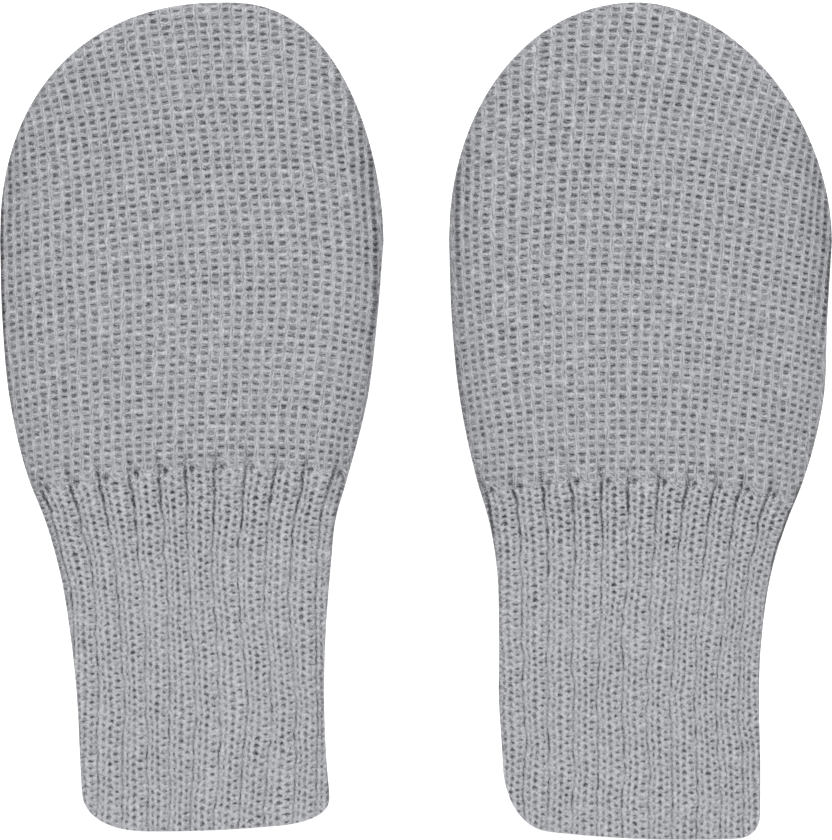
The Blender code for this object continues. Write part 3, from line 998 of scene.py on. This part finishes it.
# The reach of the painted shade in the gap between the legs of two wales
GAP_SIDE = (0.44, 0.495)
HAND_CRACK_END = (CRACK_COURSES, 0.2)
FIRST_COURSE = (1.8, 0.8)
ABOVE_CHANGE = (0.0, 0.5)
FIBRE_GRAIN = Grain(across=6.3, along=4.3, shift=3.1)
GAP_GRAIN = Grain(across=1.3, along=0.6, shift=7.7)
GAP_STEP = (0.45, 0.62)
LEG_GRAIN = Grain(across=7.4, along=0.9, slant=0.8)
LOOP_GRAIN = Grain(across=1.3, along=4.8)
HAND_TRANSFER = 1.15                # how dark the painted shade of the large holes is beside that of the hand's holes
HAND_PLAIN = 0.71
# Of the hand's tones, those of the leg and the loop are painted highlights, and those of the hollow, the
# hole, the gap and the crack are painted shade
HAND_TONES = {"leg": 0.10, "hollow": -0.05, "loop": 0.17, "strands": 0.34, "carried": 0.66,
              "hole": -0.45, "gap": -0.25, "crack": -0.52}
HAND_HEIGHTS = {"leg": 0.6, "loop": 0.8, "strands": 1.0, "carried": 1.0, "hole": -1.0,
                "gap": -1.0, "crack": -1.0}


def hand_knit():
    """The tuck stitch of the hand: a hole in every stitch, with a loop under it and legs beside it."""
    finish = Finish("hand_knit")
    wale, course = finish.places("stitches")
    rib = finish.mark("rib")
    upright = course - finish.mark("lean") * (finish.fraction(wale) - 0.5)
    across_stray, along_stray = HAND_STRAY
    beside = finish.fraction(wale) - 0.5 + finish.stray(wale, course, across_stray)
    along = finish.fraction(upright) - 0.5 + finish.stray(wale + APART, course, along_stray)
    aside = abs(beside)
    sag = SAG * beside * beside
    bowl = along - sag
    above_change = finish.ease(course, *ABOVE_CHANGE)

    # A hole is painted shade, with a darker painted shadow in its upper part under the loop above
    hole = finish.ease(aside, *HOLE_SIDE) * finish.ease(along, *HOLE_TOP) \
        * finish.ease(bowl, *HOLE_BOTTOM)
    depth = HOLE_SHADE + UPPER_SHADOW * finish.ease(along, *HOLE_UPPER) \
        + CORNER_SHADE * finish.ease(aside, *HOLE_CORNER) \
        + FIBRE_SHADE * finish.strands(wale, course, FIBRE_GRAIN)
    hole = hole * finish.mark("openness") * depth
    transfer = transfer_hole(finish, rib, course)
    # The loop under each hole, which takes a painted highlight
    from_loop = abs(finish.fraction(bowl + (0.5 + LOOP_BELOW)) - 0.5)
    loop = finish.ease(from_loop, *LOOP_EDGE) * finish.ease(aside, *LOOP_SIDE)
    dark_stretch = finish.stretches(wale, course, GAP_GRAIN, GAP_STEP)
    first_course = finish.ease(course, *FIRST_COURSE)
    leg_strands = finish.strands(wale, course, LEG_GRAIN)
    loop_strands = finish.strands(wale, upright - sag, LOOP_GRAIN)
    strands = loop_strands + (leg_strands - loop_strands) * finish.ease(aside, *LEG_START)
    # The leg and loop give painted highlights, and the hollow, hole, gap and crack painted shade
    features = {
        "leg": finish.ease(abs(aside - LEG_MIDDLE), *LEG_EDGE) * above_change,
        "hollow": finish.ease(aside, *HOLLOW_SIDE) * above_change,
        "loop": loop * above_change,
        "strands": strands - 0.5,
        "carried": carried_strands(finish, rib, course),
        "hole": finish.maths("MAXIMUM", hole, HAND_TRANSFER * transfer),
        "gap": finish.ease(aside, *GAP_SIDE) * finish.maths("MAXIMUM", dark_stretch, first_course),
        "crack": crack_line(finish, rib, course) * finish.ease(course, *HAND_CRACK_END),
    }
    tone = finish.total(HAND_PLAIN, HAND_TONES, features)
    height = finish.total(0, HAND_HEIGHTS, features)
    return yarn(finish, tone, height, wale, course)


# The cuff's finish: its soft steps are in courses up from the change, in a column's squared
# distance from its middle, 1 at the outline of a hole, or in wales from the middle of one
CUFF_STRAY = (0.07, 0.24)           # across in ribs and along in courses
WANDER = 0.11                       # how far a column of holes wanders, in ribs
WANDER_GRAIN = Grain(across=2.1, along=0.3, shift=5.3)
SPOT_EDGE = (1.3, 0.5)
SPOT_UPPER = (-0.6, 0.4)
SPOT_SHADE = 0.70                    # how dark the painted shade in a hole is in its lower part, of 1, with full painted shadow above
# The reach of the painted highlight on the arc under each hole
ARC_START = (1.6, 2.6)
ARC_END = (6.0, 3.4)
ARC_UNDER = (1.2, -0.6)
CUFF_NEAR_CHANGE = (-14.0, -4.0)
BELOW_CHANGE = (0.0, -0.5)
CUFF_CRACK_END = (2.0, -0.5)
DEEPER_HOLES = 0.25                 # how much darker the painted shade in the holes is near the change and in the cracks
DEEPER_CRACKS = 0.35                # and the cracks
# The reach of the painted highlight along the middle of each rope, and of the painted shade between the
# two slanted halves of a stitch
ROPE_EDGE = (0.42, 0.18)
LINK_EDGE = (0.33, 0.47)
LINK_SLANT = 1.3                    # how far the two halves of a stitch slant, in courses a wale
LINK_STRAY = 0.4
ROPE_GRAIN = Grain(across=5.0, along=1.4, slant=-4.8)
ROPES_APART = 1.46                  # how far apart in the noise two wales are, in wales
CUFF_FIBRES = 0.6                   # how fine the fibres are across, beside those of the hand
CUFF_TRANSFER = 1.05                # how dark the painted shade of the large holes is beside that of the cuff's holes
CUFF_PLAIN = 0.742
# Of the cuff's tones, those of the rope and the arc are painted highlights, and those of the link, the
# hole and the crack are painted shade
CUFF_TONES = {"rope": 0.19, "above": 0.03, "near": -0.06, "arc": 0.18, "strands": 0.50,
              "carried": 0.66, "link": -0.17, "hole": -0.51, "crack": -0.62}
CUFF_HEIGHTS = {"rope": 1.4, "arc": 0.6, "strands": 1.0, "carried": 1.0, "link": -0.6,
                "hole": -1.0, "crack": -1.0}


def cuff_columns(finish, into, course, stray_across, stray_along):
    """How dark the painted shade in the three columns of small holes in a rib is, and how bright the
    painted highlights on the arcs under them.
    """
    holes = 0
    arcs = 0
    for column in RIB_COLUMNS:
        beside = (into + stray_across - column.place) / column.half_width
        along = (finish.fraction(course + column.shift) - 0.5 + stray_along) / column.half_height
        reach = beside * beside + along * along
        depth = SPOT_SHADE + (1 - SPOT_SHADE) * finish.ease(along, *SPOT_UPPER)
        holes = finish.ease(reach, *SPOT_EDGE) * depth * column.strength + holes
        arcs = finish.ease(reach, *ARC_START) * finish.ease(reach, *ARC_END) \
            * finish.ease(along, *ARC_UNDER) + arcs
    return holes, arcs


def cuff_rib():
    """The wide rib of the cuff: three columns of small holes between one crack and the next."""
    finish = Finish("cuff_rib")
    rib, course = finish.places("stitches")
    into = finish.fraction(rib)
    columns = rib * len(RIB_WALES)
    across_stray, along_stray = CUFF_STRAY
    wander = finish.noise(rib, course, WANDER_GRAIN) - 0.5
    stray_across = finish.stray(columns, course, across_stray) + WANDER * wander
    stray_along = finish.stray(columns + APART, course, along_stray)
    near_change = finish.ease(course, *CUFF_NEAR_CHANGE)
    below_change = finish.ease(course, *BELOW_CHANGE)

    holes, arcs = cuff_columns(finish, into, course, stray_across, stray_along)
    holes = holes * finish.mark("openness") * below_change * (1 + DEEPER_HOLES * near_change)
    transfer = transfer_hole(finish, rib, course)
    crack = crack_line(finish, rib, course) * finish.ease(course, *CUFF_CRACK_END)

    wale = finish.whole(rib) * len(RIB_WALES)
    for left, right in RIB_WALES:
        wale = wale + finish.ease(into + stray_across, left, right, slope="LINEAR")
    from_rope = abs(finish.fraction(wale) - 0.5)
    rope_place = from_rope + finish.whole(wale) * ROPES_APART
    slanted = course + LINK_SLANT * from_rope + finish.stray(columns + 2 * APART, course, LINK_STRAY)
    # The rope and arc give painted highlights, and the link, hole and crack painted shade
    features = {
        "rope": finish.ease(from_rope, *ROPE_EDGE) * below_change,
        "above": 1 - below_change,
        "near": near_change,
        "arc": arcs * below_change,
        "strands": finish.strands(rope_place, course, ROPE_GRAIN) - 0.5,
        "carried": carried_strands(finish, rib, course),
        "link": finish.ease(abs(finish.fraction(slanted) - 0.5), *LINK_EDGE) * below_change,
        "hole": finish.maths("MAXIMUM", holes, CUFF_TRANSFER * transfer),
        "crack": crack * (1 + DEEPER_CRACKS * near_change),
    }
    tone = finish.total(CUFF_PLAIN, CUFF_TONES, features)
    height = finish.total(0, CUFF_HEIGHTS, features)
    return yarn(finish, tone, height, columns * CUFF_FIBRES, course)


# The surroundings

FLOOR_SIZE = 6.0            # in metres
FLOOR_GAP = 0.0001          # how far below the mittens it lies, in metres
FLOOR_GLOW = 0.60
FLOOR_WHITE = (0.95, 0.95, 0.95, 1.0)
FLOOR_ROUGHNESS = 0.9
FLOOR_GLOSS = 0.1
WHITE = (1.0, 1.0, 1.0, 1.0)
SKY_STRENGTH = 0.60
LAMP_STRENGTH = 1.65
LAMP_SPREAD = 40            # in degrees
LAMP_SLANT = 30             # how far from upright the light falls, in degrees
LENS = 200.0                # in millimetres
SENSOR = 36.0               # in millimetres
IMAGE_WIDTH = 832           # in pixels
PIXEL = 0.00017             # how wide a pixel is on the mittens, in metres
CAMERA_NORTH = 0.00017      # how far beyond the middle of the pair the camera stands


def lay_floor():
    """A plain white floor, lit from below as a light table is, so that shadows stay faint."""
    half = FLOOR_SIZE / 2
    mesh = bpy.data.meshes.new("floor")
    corners = [(-half, -half, -FLOOR_GAP), (half, -half, -FLOOR_GAP),
               (half, half, -FLOOR_GAP), (-half, half, -FLOOR_GAP)]
    mesh.from_pydata(corners, [], [(0, 1, 2, 3)])
    floor = put_in("floor", mesh)
    mesh.materials.append(Finish("floor_white").surface({
        "Base Color": FLOOR_WHITE,
        "Roughness": FLOOR_ROUGHNESS,
        "Specular IOR Level": FLOOR_GLOSS,
        "Emission Color": WHITE,
        "Emission Strength": FLOOR_GLOW,
    }))


def light_studio():
    """A broad soft light from beyond the fingertips, and an even light from all round."""
    world = bpy.data.worlds.new("studio")
    world.use_nodes = True
    sky = world.node_tree.nodes["Background"]
    sky.inputs["Color"].default_value = WHITE
    sky.inputs["Strength"].default_value = SKY_STRENGTH
    bpy.context.scene.world = world
    lamp = bpy.data.lights.new("soft_light", "SUN")
    lamp.energy = LAMP_STRENGTH
    lamp.angle = math.radians(LAMP_SPREAD)
    put_in("soft_light", lamp).rotation_euler = (math.radians(-LAMP_SLANT), 0, 0)


def set_camera():
    """Straight above, with the long lens of a flat product photograph."""
    lens = bpy.data.cameras.new("camera")
    lens.lens = LENS
    lens.sensor_width = SENSOR
    lens.sensor_fit = "HORIZONTAL"
    camera = put_in("camera", lens)
    camera.location = (0, CAMERA_NORTH, HALF + IMAGE_WIDTH * PIXEL * LENS / SENSOR)
    bpy.context.scene.camera = camera
    bpy.context.scene.view_settings.view_transform = "Standard"


def main():
    set_camera()
    light_studio()
    lay_floor()
    finishes = {"hand": hand_knit(), "cuff": cuff_rib()}
    for mitten in (LEFT, RIGHT):
        for part, material in finishes.items():
            back = make_layer(mitten, part, "back", material)
            make_layer(mitten, part, "front", material)


main()
